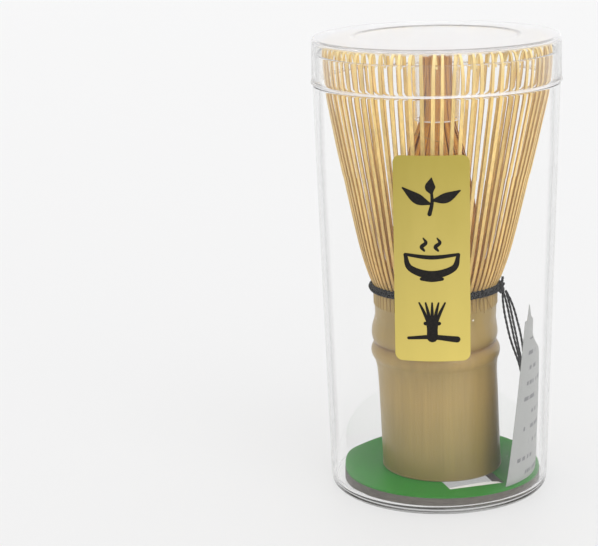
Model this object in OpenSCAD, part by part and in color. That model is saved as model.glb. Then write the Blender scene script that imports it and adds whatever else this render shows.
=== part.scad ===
// Bamboo tea whisk standing in its clear round case, with the lid on.
// Millimetres, +Z up. The origin is the centre of the case's underside, and the label faces -Y.
// A direction round the axis is given in degrees from -Y, turning towards +X.

/* [Case tube] */
// Height of the tube, from its foot to its mouth
tube_h = 109; // [108.5:0.5:109.5]
// Outer radius just above the rounded foot
tube_r_low = 27.25; // [27:0.05:28]
// Outer radius at the shoulder, where the neck begins
tube_r_high = 29.9; // [29.8:0.05:30.1]
// Wall thickness below the shoulder
tube_wall = 1.1; // [0.8:0.1:1.2]
// Thickness of the floor
floor_t = 1.6; // [1.2:0.1:1.7]
// Height of the shoulder that the lid rests on
shoulder_z = 101.5; // [100:0.5:102]
// Outer radius of the neck inside the lid
neck_r = 29.1; // [29.05:0.05:29.15]
// Inner radius of the neck
mouth_r = 28.35; // [28.3:0.05:28.4]

/* [Lid] */
// Height of the top of the lid above the table
lid_top_z = 112.3; // [112:0.1:114]
// Outer radius of the skirt
lid_r = 30.1; // [30:0.05:30.4]
// Wall thickness of the skirt
lid_wall = 0.75; // [0.65:0.05:0.75]
// Radius of the shallow round recess in the top
recess_r = 19.6; // [15:0.1:22]
// Depth of that recess
recess_d = 0.5; // [0.2:0.1:0.6]

/* [Label] */
// Width of the foil label, measured straight across
label_w = 17.6; // [12:0.1:24]
// Height of the lower edge of the label
label_z = 39.2; // [30:0.1:50]
// Height of the label
label_h = 49.3; // [30:0.1:52]
// Radius of the label's corners
label_corner = 1.8; // [0.5:0.1:4]

/* [Base card] */
// Radius of the board and of its green facing
card_r = 24.5; // [22:0.1:24.7]
// Thickness of the board
board_t = 2.3; // [1.5:0.1:2.5]
// Thickness of the facing card
facing_t = 0.3; // [0.2:0.05:0.5]
// Width of the cut-out that the tab was folded from
slot_w = 14.2; // [8:0.1:15]
// Distance from the axis to the far edge of the cut-out
slot_far = 18.4; // [17:0.1:20]
// Distance from the axis to the fold
slot_fold = 5.4; // [5:0.1:6]
// Direction that the cut-out faces
slot_turn = 22.8; // [0:0.1:90]

/* [Leaflet] */
// Direction of the edge nearest the label
leaflet_from = 47.6; // [40:0.1:60]
// Angle that the curled sheet spans
leaflet_span = 57; // [20:1:100]
// Height of the sheet above the card
leaflet_h = 42; // [20:1:45]
// Thickness of the sheet
leaflet_t = 0.2; // [0.15:0.05:0.4]

/* [Handle] */
// Radius of the culm at the foot of the handle
handle_r = 14.9; // [14.8:0.05:15]
// Radius of the hollow below the node
bore_r = 12; // [11.5:0.1:12.4]
// Height above the table at which the culm is split into tines
split_z = 47; // [46:0.5:48]

/* [Tines] */
// Groups that the tines are divided into round the whisk
tine_groups = 12; // [12]
// Tines in each group, in the outer ring and in the inner bundle alike
tines_in_group = 6; // [6]
// Thickness of an outer tine
outer_t = 0.6; // [0.4:0.05:0.6]
// Width of an outer tine
outer_w = 1; // [0.8:0.05:1.1]
// Thickness of an inner tine
inner_t = 0.4; // [0.3:0.05:0.4]
// Width of an inner tine
inner_w = 0.4; // [0.3:0.05:0.4]

/* [Lacing and sleeve] */
// Diameter of the lacing thread
lacing_d = 0.84; // [0.6:0.02:0.86]
// Height of the middle of the lacing above the table
lacing_z = 50.6; // [50:0.1:50.8]
// Diameter of one loose tail
tail_d = 0.55; // [0.4:0.05:0.55]
// Outer radius of the sleeve on the inner tines
sleeve_r = 5.35; // [5.2:0.05:6]
// Wall thickness of the sleeve
sleeve_wall = 0.25; // [0.15:0.05:0.3]

/* [Hidden] */
GROUPS = [for (g = [1 : tine_groups]) g];
$fn = 96;

// Case tube
foot_r = 26.7;
foot_recess_r = 22.5;
foot_recess_d = 0.4;
foot_round_z = 3;
floor_corner = 1.3;
tube_draft = (tube_r_high - tube_r_low) / (shoulder_z - foot_round_z);
function tube_r(z) = tube_r_low + tube_draft * (z - foot_round_z);

// Base card: both layers lie on the tube's floor, and the whisk stands on them
facing_z = floor_t + board_t;
stand_z = facing_z + facing_t;
slot_aside = 2.35;
slot_l = slot_far - slot_fold;

// Handle: the node is a double ridge with a groove between, and a wall closes the culm there
node_z = 34;
septum_low = 33;
septum_high = 36;
upper_bore_r = 12.6;
culm = [
    [handle_r, stand_z + 0.35], [handle_r + 0.05, 27], [handle_r + 0.15, 30.5], [15.45, 31.8],
    [15.95, node_z - 0.8], [16.1, node_z], [15.95, node_z + 1], [15.5, node_z + 2.2],
    [15.4, node_z + 2.8], [15.55, node_z + 3.6], [15.7, node_z + 4.6], [15.6, 40.2], [15.2, 42.5],
    [15.1, 44]
];

// Tines: the middle line of each, as [radius, height]
tine_count = tine_groups * tines_in_group;
tine_step = 360 / tine_count;
outer_line = [
    [15.05, split_z], [15.15, 51.4], [15.75, 52.6], [26.4, 96.5], [27.35, 101], [27.75, 105.5],
    [27.75, 108.8], [27.3, 110.2], [26.3, 110.8], [25.3, 110.2], [24.7, 108.8], [24.3, 107]
];
inner_line_a = [[13.15, split_z], [13.1, 50.3], [7, 84], [4.6, 91.5], [3.75, 97], [3.4, 107]];
inner_line_b = [[13.15, split_z], [13.1, 50.3], [5.9, 84], [3.5, 91.5], [2.8, 97], [2.75, 107]];

// Lacing
lacing_outer_r = 15.9;
lacing_inner_r = 14.1;
knot_turn = 78.6;
knot_r = 1;
knot_h = 2.6;
knot_z = 50.8;
knot_out = lacing_outer_r + lacing_d / 2 + knot_r + 0.02;
ear_lean = 20;
ear_l = 3.4;

// Sleeve
sleeve_z = 91.3;
sleeve_top = 108.5;

// Loose tails: the route of each from inside the knot to its cut end
tail_sides = 8;
TAILS = [
    [[16.7, -3.7, 50], [16.6, -3.7, 48], [16.7, -3.7, 46], [16.9, -3.7, 44], [17.2, -3.7, 42],
     [17.5, -3.6, 40], [17.9, -3.6, 38], [18.4, -3.6, 36], [19.0, -3.6, 34], [19.6, -3.6, 32],
     [20.0, -3.6, 30], [20.3, -3.6, 28], [20.4, -3.6, 26], [20.4, -3.6, 24], [20.3, -3.6, 22],
     [20.2, -3.6, 20]],
    [[16.7, -3.0, 50], [17.2, -3.0, 48], [17.6, -3.0, 46], [17.9, -3.0, 44], [18.2, -3.0, 42],
     [18.5, -2.9, 40], [18.8, -2.9, 38], [19.2, -2.9, 36], [19.6, -2.9, 34], [20.0, -2.9, 32],
     [20.3, -2.9, 30], [20.5, -2.9, 28], [20.6, -2.9, 26], [20.5, -2.9, 24], [20.4, -2.9, 22],
     [20.2, -2.9, 20]],
    [[17.4, -3.7, 50], [17.9, -3.7, 48], [18.3, -3.7, 46], [18.6, -3.7, 44], [18.9, -3.7, 42],
     [19.2, -3.6, 40], [19.5, -3.6, 38], [19.8, -3.6, 36], [20.1, -3.6, 34], [20.5, -3.6, 32],
     [20.8, -3.6, 30], [21.0, -3.6, 28], [21.1, -3.6, 26], [21.1, -3.6, 24], [21.0, -3.6, 22],
     [20.9, -3.6, 20]],
    [[17.4, -3.0, 50], [18.3, -3.0, 48], [19.0, -3.0, 46], [19.5, -3.0, 44], [19.9, -3.0, 42],
     [20.3, -2.9, 40], [20.6, -2.9, 38], [20.8, -2.9, 36], [20.9, -2.9, 34], [21.0, -2.9, 32],
     [21.1, -2.9, 30], [21.2, -2.9, 28], [21.3, -2.9, 26], [21.2, -2.9, 24], [21.1, -2.9, 22],
     [20.9, -2.9, 20]]
];

// Points of a round corner of radius r about [x, y], from angle a to angle b
function corner(x, y, r, a, b, steps = 6) =
    [for (i = [0 : steps]) let (t = a + (b - a) * i / steps) [x + r * cos(t), y + r * sin(t)]];

// Unit vector along v
function unit(v) = v / norm(v);

// Direction of a line of points at its point i
function heading(line, i) = unit(line[min(i + 1, len(line) - 1)] - line[max(i - 1, 0)]);

// A line of [x, y] points moved sideways by d, to its left
function beside(line, d) =
    [for (i = [0 : len(line) - 1]) let (h = heading(line, i)) line[i] + d * [-h[1], h[0]]];

// The outline of a strip of thickness t along a line
function strip(line, t) =
    let (left = beside(line, t / 2), right = beside(line, -t / 2), n = len(line))
    concat(right, [for (i = [n - 1 : -1 : 0]) left[i]]);

// Puts its children, drawn along +X, in a direction round the axis
module facing_way(turn) { rotate(turn - 90) children(); }

// A strip of the [radius, height] line, w wide, standing in a direction round the axis
module tine(line, t, w, turn) {
    facing_way(turn)
        translate([0, w / 2, 0])
            rotate([90, 0, 0])
                linear_extrude(w)
                    polygon(strip(line, t));
}

// One group of tines, which take their middle lines in turn
module tine_group(g, lines, t, w, shift) {
    for (k = [0 : tines_in_group - 1]) {
        n = (g - 1) * tines_in_group + k;
        tine(lines[n % len(lines)], t, w, (n + shift) * tine_step);
    }
}

// A round tube along a route of points
module swept(route, d) {
    rings = [
        for (i = [0 : len(route) - 1])
            let (h = heading(route, i), side = unit(cross(h, [0, 1, 0])), up = cross(side, h))
            for (s = [0 : tail_sides - 1])
                let (a = 360 * s / tail_sides)
                route[i] + d / 2 * (cos(a) * side + sin(a) * up)
    ];
    n = len(route);
    walls = [
        for (i = [0 : n - 2])
            for (s = [0 : tail_sides - 1])
                let (a = i * tail_sides + s, b = i * tail_sides + (s + 1) % tail_sides)
                [a, b, b + tail_sides, a + tail_sides]
    ];
    first = [for (s = [tail_sides - 1 : -1 : 0]) s];
    last = [for (s = [0 : tail_sides - 1]) (n - 1) * tail_sides + s];
    polyhedron(rings, concat([first], walls, [last]));
}

// The cut-out's shape seen from above: from the fold to the far edge
module slot_shape() {
    facing_way(slot_turn)
        translate([slot_fold, slot_aside - slot_w / 2])
            square([slot_l, slot_w]);
}

// A layer of the base card with its cut-out
module card_layer(z, t) {
    translate([0, 0, z])
        linear_extrude(t)
            difference() {
                circle(card_r);
                slot_shape();
            }
}

module case_tube() {
    color([0.86, 0.9, 0.94, 0.3])
        rotate_extrude()
            polygon(concat(
                [[0, foot_recess_d], [foot_recess_r, foot_recess_d], [foot_recess_r + 0.4, 0]],
                [[foot_r - 0.9, 0], [foot_r - 0.25, 0.3], [foot_r + 0.1, 1], [foot_r + 0.4, 2]],
                [[tube_r_low, foot_round_z], [tube_r_high, shoulder_z - 0.3]],
                [[tube_r_high - 0.3, shoulder_z], [neck_r, shoulder_z], [neck_r, tube_h - 0.3]],
                [[neck_r - 0.25, tube_h], [mouth_r + 0.2, tube_h], [mouth_r, tube_h - 0.3]],
                [[mouth_r, shoulder_z - 0.8], [tube_r_high - tube_wall, shoulder_z - 2.2]],
                corner(tube_r_low - tube_wall - floor_corner, floor_t + floor_corner,
                       floor_corner, 0, -90),
                [[0, floor_t]]
            ));
}

module case_label() {
    gap = 0.02;
    film = 0.12;
    top = label_z + label_h;
    color([0.83, 0.76, 0.42])
        intersection() {
            rotate_extrude(angle = 60, start = -120)
                polygon([
                    [tube_r(label_z) + gap, label_z], [tube_r(label_z) + gap + film, label_z],
                    [tube_r(top) + gap + film, top], [tube_r(top) + gap, top]
                ]);
            translate([0, 0, label_z])
                rotate([90, 0, 0])
                    linear_extrude(2 * tube_r_high)
                        union() {
                            translate([-label_w / 2, label_corner])
                                square([label_w, label_h - 2 * label_corner]);
                            translate([label_corner - label_w / 2, 0])
                                square([label_w - 2 * label_corner, label_h]);
                            for (x = [-1, 1])
                                for (y = [label_corner, label_h - label_corner])
                                    translate([x * (label_w / 2 - label_corner), y])
                                        circle(label_corner);
                        }
        }
}

module card_board() {
    color([0.45, 0.42, 0.38])
        card_layer(floor_t, board_t);
}

// The facing carries the tab, which is folded up into the hollow of the handle
module card_facing() {
    color([0.3, 0.56, 0.26])
        union() {
            card_layer(facing_z, facing_t);
            facing_way(slot_turn)
                translate([slot_fold - facing_t, slot_aside - slot_w / 2, facing_z])
                    cube([facing_t, slot_w, slot_l]);
        }
}

// A curled sheet that leans out with the wall of the tube
module leaflet() {
    low_r = 23.8;
    high_r = 25.2;
    top = stand_z + leaflet_h;
    color([0.85, 0.85, 0.84])
        rotate_extrude(angle = leaflet_span, start = leaflet_from - 90)
            polygon([
                [low_r, stand_z], [low_r + leaflet_t, stand_z], [high_r + leaflet_t, top],
                [high_r, top]
            ]);
}

module handle() {
    color([0.7, 0.62, 0.44])
        rotate_extrude()
            polygon(concat(
                [[bore_r + 0.3, stand_z], [handle_r - 0.35, stand_z]],
                culm,
                [[15.35, split_z], [upper_bore_r, split_z], [upper_bore_r, septum_high + 1]],
                [[upper_bore_r - 1, septum_high], [0, septum_high], [0, septum_low]],
                [[bore_r - 1, septum_low], [bore_r, septum_low - 1], [bore_r, stand_z + 0.3]]
            ));
}

module outer_tines(g) {
    color([0.87, 0.74, 0.5])
        tine_group(g, [outer_line], outer_t, outer_w, 0);
}

module inner_tines(g) {
    color([0.8, 0.62, 0.32])
        tine_group(g, [inner_line_a, inner_line_b], inner_t, inner_w, 0.5);
}

// Two turns of thread, one on the other, round the outside of the outer tines
module lacing_outer() {
    color([0.12, 0.12, 0.13])
        for (z = [-0.5, 0.5])
            translate([0, 0, lacing_z + z * (lacing_d + 0.02)])
                rotate_extrude()
                    translate([lacing_outer_r, 0])
                        circle(d = lacing_d, $fn = 24);
}

// The pass of thread that keeps the outer tines off the inner ones
module lacing_inner() {
    color([0.12, 0.12, 0.13])
        translate([0, 0, lacing_z])
            rotate_extrude()
                translate([lacing_inner_r, 0])
                    circle(d = lacing_d, $fn = 24);
}

// A barrel-shaped knot with one short end that stands up from it
module thread_knot() {
    color([0.12, 0.12, 0.13])
        facing_way(knot_turn)
            translate([knot_out, 0, knot_z])
                union() {
                    rotate_extrude()
                        polygon(concat(
                            [[0, -knot_h / 2]],
                            corner(knot_r - 0.6, 0.6 - knot_h / 2, 0.6, -90, 0),
                            corner(knot_r - 0.6, knot_h / 2 - 0.6, 0.6, 0, 90),
                            [[0, knot_h / 2]]
                        ));
                    rotate([0, ear_lean, 0])
                        cylinder(d = lacing_d, h = ear_l);
                }
}

module thread_tail(k) {
    color([0.12, 0.12, 0.13])
        swept(TAILS[k - 1], tail_d);
}

module tip_sleeve() {
    color([0.93, 0.94, 0.93, 0.4])
        rotate_extrude()
            translate([sleeve_r - sleeve_wall, sleeve_z])
                square([sleeve_wall, sleeve_top - sleeve_z]);
}

module lid() {
    skirt_z = shoulder_z + 0.1;
    lip = 0.25;
    shoulder = 0.8;
    top_t = 0.7;
    step = 0.7;
    inner_corner = 0.4;
    inner_r = lid_r - lid_wall;
    roof_z = lid_top_z - top_t;
    color([0.9, 0.93, 0.96, 0.3])
        rotate_extrude()
            polygon(concat(
                [[inner_r, skirt_z], [lid_r + lip - 0.1, skirt_z], [lid_r + lip, skirt_z + 0.3]],
                [[lid_r, skirt_z + 1]],
                corner(lid_r - 0.15 - shoulder, lid_top_z - shoulder, shoulder, 0, 90),
                [[recess_r + step, lid_top_z], [recess_r, lid_top_z - recess_d]],
                [[0, lid_top_z - recess_d], [0, roof_z - recess_d], [recess_r, roof_z - recess_d]],
                [[recess_r + step, roof_z]],
                corner(inner_r - inner_corner, roof_z - inner_corner, inner_corner, 90, 0)
            ));
}

case_tube();
case_label();
card_board();
card_facing();
leaflet();
handle();
for (g = GROUPS) outer_tines(g);
for (g = GROUPS) inner_tines(g);
lacing_outer();
lacing_inner();
thread_knot();
for (k = [1 : 4]) thread_tail(k);
tip_sleeve();
lid();
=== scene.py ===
"""Bamboo tea whisk standing in its clear round case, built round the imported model.

Shapes are worked out in millimetres and become metres where a mesh is made. A direction round the
axis is given in degrees from -Y, turning towards +X, as in the model's own source.
"""
import math

import bmesh
import bpy
from mathutils import Matrix, Vector


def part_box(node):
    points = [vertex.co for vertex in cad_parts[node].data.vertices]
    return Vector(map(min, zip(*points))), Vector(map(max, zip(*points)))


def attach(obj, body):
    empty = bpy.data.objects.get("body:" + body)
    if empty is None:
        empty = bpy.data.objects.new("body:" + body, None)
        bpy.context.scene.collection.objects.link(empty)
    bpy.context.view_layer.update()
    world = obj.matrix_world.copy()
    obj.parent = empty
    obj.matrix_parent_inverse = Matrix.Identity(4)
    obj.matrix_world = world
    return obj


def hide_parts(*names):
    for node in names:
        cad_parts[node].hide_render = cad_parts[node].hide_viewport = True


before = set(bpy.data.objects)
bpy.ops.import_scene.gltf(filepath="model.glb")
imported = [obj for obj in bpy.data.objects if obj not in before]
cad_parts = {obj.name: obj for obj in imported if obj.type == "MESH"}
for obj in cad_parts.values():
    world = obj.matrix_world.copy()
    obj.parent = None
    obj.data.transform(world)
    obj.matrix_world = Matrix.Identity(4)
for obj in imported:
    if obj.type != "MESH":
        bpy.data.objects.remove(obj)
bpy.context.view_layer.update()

bl_info = {
    "name": "Bamboo tea whisk",
    "version": (1, 0, 0),
    "blender": (4, 5, 0),
    "location": "3D View > Sidebar > Tea whisk",
    "description": "Builds a bamboo tea whisk in its clear case, piece by piece",
    "category": "Object",
}

MM = 0.001
TAU = 2 * math.pi
UP = Vector((0, 0, 1))


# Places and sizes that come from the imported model, in millimetres

def low(node):
    """The lowest corner of a node."""
    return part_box(node)[0] / MM


def high(node):
    """The highest corner of a node."""
    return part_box(node)[1] / MM


CARD_Z = low("card_board").z
FACING_Z = high("card_board").z
CARD_R = high("card_board").x
STAND_Z = low("handle").z
SPLIT_Z = high("handle").z
TUBE_TOP = high("case_tube").z
TUBE_R = high("case_tube").x
LID_LOW = low("lid").z
LID_TOP = high("lid").z
LIP_R = high("lid").x
LABEL_LOW = low("case_label").z
LABEL_HIGH = high("case_label").z
LABEL_HALF = high("case_label").x
LACING_Z = (low("lacing_outer").z + high("lacing_outer").z) / 2
LACING_R = high("lacing_outer").x
SLEEVE_LOW = low("tip_sleeve").z
SLEEVE_HIGH = high("tip_sleeve").z
SLEEVE_R = high("tip_sleeve").x
LEAFLET_TOP = high("leaflet").z

# The tube's wall, as in the model's source
TUBE_R_LOW = 27.25
FOOT_ROUND_Z = 3
SHOULDER_Z = LID_LOW - 0.1
TUBE_DRAFT = (TUBE_R - TUBE_R_LOW) / (SHOULDER_Z - FOOT_ROUND_Z)

# The four loose tails of the lacing thread, as in the model's source: the first y of each, and its
# x at each step down from inside the knot to the cut end
TAIL_D = 0.6
TAIL_TOP = 50
TAIL_LOW = 20
TAIL_STEP = 2
TAILS = (
    (-3.7, (16.7, 16.6, 16.7, 16.9, 17.2, 17.5, 17.9, 18.4,
            19.0, 19.6, 20.0, 20.3, 20.4, 20.4, 20.3, 20.2)),
    (-3.0, (16.7, 17.2, 17.6, 17.9, 18.2, 18.5, 18.8, 19.2,
            19.6, 20.0, 20.3, 20.5, 20.6, 20.5, 20.4, 20.2)),
    (-3.7, (17.4, 17.9, 18.3, 18.6, 18.9, 19.2, 19.5, 19.8,
            20.1, 20.5, 20.8, 21.0, 21.1, 21.1, 21.0, 20.9)),
    (-3.0, (17.4, 18.3, 19.0, 19.5, 19.9, 20.3, 20.6, 20.8,
            20.9, 21.0, 21.1, 21.2, 21.3, 21.2, 21.1, 20.9)),
)

# The whisk does not stand quite straight in its case, and its culm bends a little at the node:
# each height with its shift sideways
LEAN = ((STAND_Z, 0.8), (25, 0.0), (31, -0.35), (36.5, -0.8), (40.5, -0.85), (44, -0.55),
        (LACING_Z, -0.6), (LID_LOW, 0.25))


# Sizes and colours that a user would change

def colour_prop(name, description, value):
    """A colour in the user's hands."""
    return bpy.props.FloatVectorProperty(
        name=name, description=description, subtype="COLOR", size=3, min=0, max=1, default=value)


def strength_prop(name, description, value):
    """A strength with no upper end."""
    return bpy.props.FloatProperty(name=name, description=description, min=0, default=value)


def length_prop(name, description, value):
    """A length, kept in metres as Blender's own are."""
    return bpy.props.FloatProperty(
        name=name, description=description, subtype="DISTANCE", unit="LENGTH", min=0,
        precision=5, default=value)


class WhiskStageSettings(bpy.types.PropertyGroup):
    """The floor, the lights and the surroundings."""
    floor: colour_prop("Floor", "Colour of the pale floor", (0.3, 0.3, 0.302))
    glow: strength_prop("Floor glow", "Light from under the floor, as on a light table", 0.505)
    key: strength_prop("Key light", "Strength of the soft light from the front right", 1.2)
    fill: strength_prop("Fill light", "Strength of the softer light from the left", 0.08)
    world: strength_prop("Surroundings", "Brightness of the studio round the object", 0.93)


class WhiskCaseSettings(bpy.types.PropertyGroup):
    """The clear case, its label, its card and its leaflet."""
    clear: colour_prop("Clear plastic", "Tint of the tube and the lid", (0.992, 0.992, 0.991))
    gold: colour_prop("Foil", "Colour of the foil label", (0.60, 0.48, 0.12))
    ink: colour_prop("Ink", "Colour of the motifs on the label", (0.006, 0.005, 0.004))
    green: colour_prop("Green card", "Colour of the card's facing", (0.016, 0.225, 0.013))
    board: colour_prop("Board", "Colour of the board's edge", (0.125, 0.112, 0.096))
    paper: colour_prop("Paper", "Colour of the leaflet", (0.375, 0.38, 0.37))


class WhiskBambooSettings(bpy.types.PropertyGroup):
    """The whisk's bamboo."""
    tines: bpy.props.IntProperty(
        name="Tines", description="Tines in the outer ring, and as many in the inner bundle",
        min=12, max=120, default=72)
    foot_w: length_prop("Width at the split", "Width of an outer tine where it is split", 0.0013)
    body_w: length_prop("Width of the body", "Width of an outer tine above the lacing", 0.00096)
    tip_w: length_prop("Width at the tip", "Width of an outer tine at its tip", 0.00082)
    foot_t: length_prop("Thickness at the split", "Thickness of an outer tine there", 0.00065)
    tip_t: length_prop("Thickness at the tip", "Thickness of an outer tine there", 0.00034)
    skin: colour_prop("Skin", "Colour of the culm's skin", (0.385, 0.26, 0.078))
    straw: colour_prop("Split bamboo", "Colour of the tines", (0.87, 0.62, 0.22))
    # The tips' pale colour is partly a painted highlight on the hooks.
    pale: colour_prop("Tips", "Colour of the shaved tips", (0.93, 0.78, 0.40))
    gold: colour_prop("Inner bamboo", "Colour of the inner tines", (0.53, 0.23, 0.015))
    seed: bpy.props.IntProperty(
        name="Seed", description="Changes how each tine strays from its place", default=7)


class WhiskThreadSettings(bpy.types.PropertyGroup):
    """The black lacing thread."""
    colour: colour_prop("Thread", "Colour of the thread", (0.004, 0.0042, 0.0052))


# Small helpers

def settings(name):
    """One of the scene's groups of settings."""
    return getattr(bpy.context.scene, name)


def lerp(a, b, t):
    """The value a share t of the way from a to b."""
    return a + (b - a) * t


def ease(t):
    """0 to 1 with level ends."""
    t = min(max(t, 0.0), 1.0)
    return t * t * (3 - 2 * t)


def tube_r(z):
    """Outer radius of the tube at a height."""
    return TUBE_R_LOW + TUBE_DRAFT * (z - FOOT_ROUND_Z)


def facing(turn, r, z):
    """The point at a radius and a height, in a direction round the axis."""
    a = math.radians(turn)
    return Vector((r * math.sin(a), -r * math.cos(a), z))


def turned(a, r, z):
    """The point at a radius and a height, at an angle in radians from +X."""
    return Vector((r * math.cos(a), r * math.sin(a), z))


def corner(x, y, r, start, end, steps=6):
    """Points of a round corner about (x, y), from one angle to another, in degrees."""
    turns = [math.radians(lerp(start, end, i / steps)) for i in range(steps + 1)]
    return [(x + r * math.cos(a), y + r * math.sin(a)) for a in turns]


def smooth_line(points, steps):
    """A smooth line through points, with some steps between each two."""
    vs = [Vector(p) for p in points]
    vs = [2 * vs[0] - vs[1], *vs, 2 * vs[-1] - vs[-2]]
    line = []
    for a, b, c, d in zip(vs, vs[1:], vs[2:], vs[3:]):
        for k in range(steps):
            t = k / steps
            line.append(0.5 * (2 * b + (c - a) * t + (2 * a - 5 * b + 4 * c - d) * t * t
                               + (3 * b - a - 3 * c + d) * t ** 3))
    line.append(vs[-2])
    return line


def linked(name, data):
    """A new object in the scene."""
    piece = bpy.data.objects.new(name, data)
    bpy.context.scene.collection.objects.link(piece)
    return piece


def new_piece(name, points, faces, finish, outward=True, sharp=180):
    """A smooth mesh object from points in millimetres, its normals turned outwards and its edges
    kept sharp past an angle in degrees."""
    mesh = bpy.data.meshes.new(name)
    mesh.from_pydata([Vector(p) * MM for p in points], [], faces)
    bm = bmesh.new()
    bm.from_mesh(mesh)
    bmesh.ops.remove_doubles(bm, verts=bm.verts, dist=1e-7)
    if outward:
        bmesh.ops.recalc_face_normals(bm, faces=bm.faces)
    for face in bm.faces:
        face.smooth = True
    if sharp < 180:
        most = math.radians(sharp)
        for edge in bm.edges:
            edge.smooth = len(edge.link_faces) == 2 and edge.calc_face_angle(0) < most
    bm.to_mesh(mesh)
    bm.free()
    mesh.materials.append(finish)
    return linked(name, mesh)


def joined(name, pieces):
    """Several mesh objects made into one."""
    bm = bmesh.new()
    for piece in pieces:
        bm.from_mesh(piece.data)
    mesh = bpy.data.meshes.new(name)
    bm.to_mesh(mesh)
    bm.free()
    mesh.materials.append(pieces[0].data.materials[0])
    for piece in pieces:
        bpy.data.objects.remove(piece)
    return linked(name, mesh)


def place(piece, body, slot, *nodes):
    """Makes a piece ride on a body and stand for its nodes. slot is not used."""
    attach(piece, body)
    if nodes:
        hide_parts(*nodes)


def leaned(piece):
    """Moves a finished piece of the whisk sideways by its lean, height by height."""
    for vertex in piece.data.vertices:
        z = vertex.co.z / MM
        shift = LEAN[-1][1]
        for (z0, x0), (z1, x1) in zip(LEAN, LEAN[1:]):
            if z <= z1:
                shift = lerp(x0, x1, max(0.0, (z - z0) / (z1 - z0)))
                break
        vertex.co.x += shift * MM
    return piece


def held(outline, margin=0.12):
    """The outline with points close to the ends of its long straight runs, which keeps the
    shading of a flat run from bending towards the corner beside it."""
    points = []
    for (r0, z0), (r1, z1) in zip(outline, outline[1:] + outline[:1]):
        points.append((r0, z0))
        run = math.hypot(r1 - r0, z1 - z0)
        if run > 6 * margin:
            for t in (margin / run, 1 - margin / run):
                points.append((lerp(r0, r1, t), lerp(z0, z1, t)))
    return points


def lathe(name, outline, finish, steps, wobble=None, sharp=180):
    """Turns a closed (radius, height) outline round the axis. wobble may move each point."""
    points, rings = [], []
    for r, z in held(outline):
        if r < 1e-6:
            rings.append([len(points)] * steps)
            points.append(UP * z)
            continue
        rings.append([len(points) + k for k in range(steps)])
        for k in range(steps):
            a = TAU * k / steps
            points.append(turned(a, *(wobble(r, z, a) if wobble else (r, z))))
    faces = []
    for one, two in zip(rings, rings[1:] + rings[:1]):
        for k in range(steps):
            m = (k + 1) % steps
            face = list(dict.fromkeys((one[k], one[m], two[m], two[k])))
            if len(face) > 2:
                faces.append(face)
    return new_piece(name, points, faces, finish, sharp=sharp)


def swept(name, line, finish, shape, closed=False):
    """A tube along a line. shape(step) gives the section's points as (sideways, up)."""
    n = len(line)
    points, faces = [], []
    side = None
    for i, p in enumerate(line):
        if closed:
            ahead = (line[(i + 1) % n] - line[i - 1]).normalized()
        else:
            ahead = (line[min(i + 1, n - 1)] - line[max(i - 1, 0)]).normalized()
        if side is None or closed:
            side = ahead.cross(UP if abs(ahead.z) < 0.9 else Vector((0, 1, 0)))
        side = (side - ahead * side.dot(ahead)).normalized()
        up = side.cross(ahead)
        points += [p + side * u + up * v for u, v in shape(i)]
    k = len(points) // n
    for i in range(n if closed else n - 1):
        after = (i + 1) % n * k
        for s in range(k):
            m = (s + 1) % k
            faces.append((i * k + s, i * k + m, after + m, after + s))
    if not closed:
        faces += [tuple(range(k))[::-1], tuple(range((n - 1) * k, n * k))]
    return new_piece(name, points, faces, finish)


def loop(name, steps, at, finish, shape):
    """A closed tube through at(angle), all the way round."""
    return swept(name, [at(TAU * k / steps) for k in range(steps)], finish, shape, closed=True)


def two_ply(radius, ply, pitch, sides=8):
    """A section for swept: two plies side by side, turning once every pitch of steps."""
    def shape(i):
        points = []
        for k in range(sides):
            a = TAU * k / sides
            waist = 0.5 - 0.5 * math.cos(2 * (a - TAU * i / pitch))
            points.append(turned(a, radius * (1 - ply * waist), 0).xy)
        return points
    return shape


def grid(columns, rows):
    """A flat mesh of squares, from 0 to 1 each way."""
    bm = bmesh.new()
    lines = [[bm.verts.new((i / columns, j / rows, 0)) for i in range(columns + 1)]
             for j in range(rows + 1)]
    for one, two in zip(lines, lines[1:]):
        for k in range(columns):
            bm.faces.new((one[k], one[k + 1], two[k + 1], two[k]))
    return bm


def flat_shape(points):
    """A flat mesh of one face."""
    bm = bmesh.new()
    bm.faces.new([bm.verts.new(p) for p in points])
    return bm


def cut(bm, at, normal):
    """Cuts every face of a mesh along a plane."""
    bmesh.ops.bisect_plane(bm, geom=bm.verts[:] + bm.edges[:] + bm.faces[:], plane_co=at,
                           plane_no=normal)


def slab(name, bm, above, below, finish, sharp=40):
    """A thin sheet from a flat mesh. above and below give the two places of each point."""
    bm.verts.index_update()
    flat = [v.co.copy() for v in bm.verts]
    faces = [[v.index for v in f.verts] for f in bm.faces]
    rim = [[v.index for v in e.verts] for e in bm.edges if len(e.link_faces) == 1]
    bm.free()
    n = len(flat)
    faces += [[v + n for v in reversed(f)] for f in faces]
    faces += [(a, b, b + n, a + n) for a, b in rim]
    return new_piece(name, [*map(above, flat), *map(below, flat)], faces, finish, sharp=sharp)


# Node building

FLOAT, COLOUR, VECTOR, WHOLE = (
    "NodeSocketFloat", "NodeSocketColor", "NodeSocketVector", "NodeSocketInt")


def rgba(colour):
    """A colour with its alpha."""
    return (*colour[:3], 1.0)


class Value:
    """A node's output that can stand in a sum: each sign adds one Math node."""

    def __init__(self, tree, socket):
        self.tree, self.socket = tree, socket

    def __add__(self, other):
        return self.tree.maths("ADD", self, other)

    def __sub__(self, other):
        return self.tree.maths("SUBTRACT", self, other)

    def __rsub__(self, other):
        return self.tree.maths("SUBTRACT", other, self)

    def __mul__(self, other):
        return self.tree.maths("MULTIPLY", self, other)

    def __truediv__(self, other):
        return self.tree.maths("DIVIDE", self, other)

    def __gt__(self, other):
        return self.tree.maths("GREATER_THAN", self, other)

    def __lt__(self, other):
        return self.tree.maths("LESS_THAN", self, other)


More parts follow.
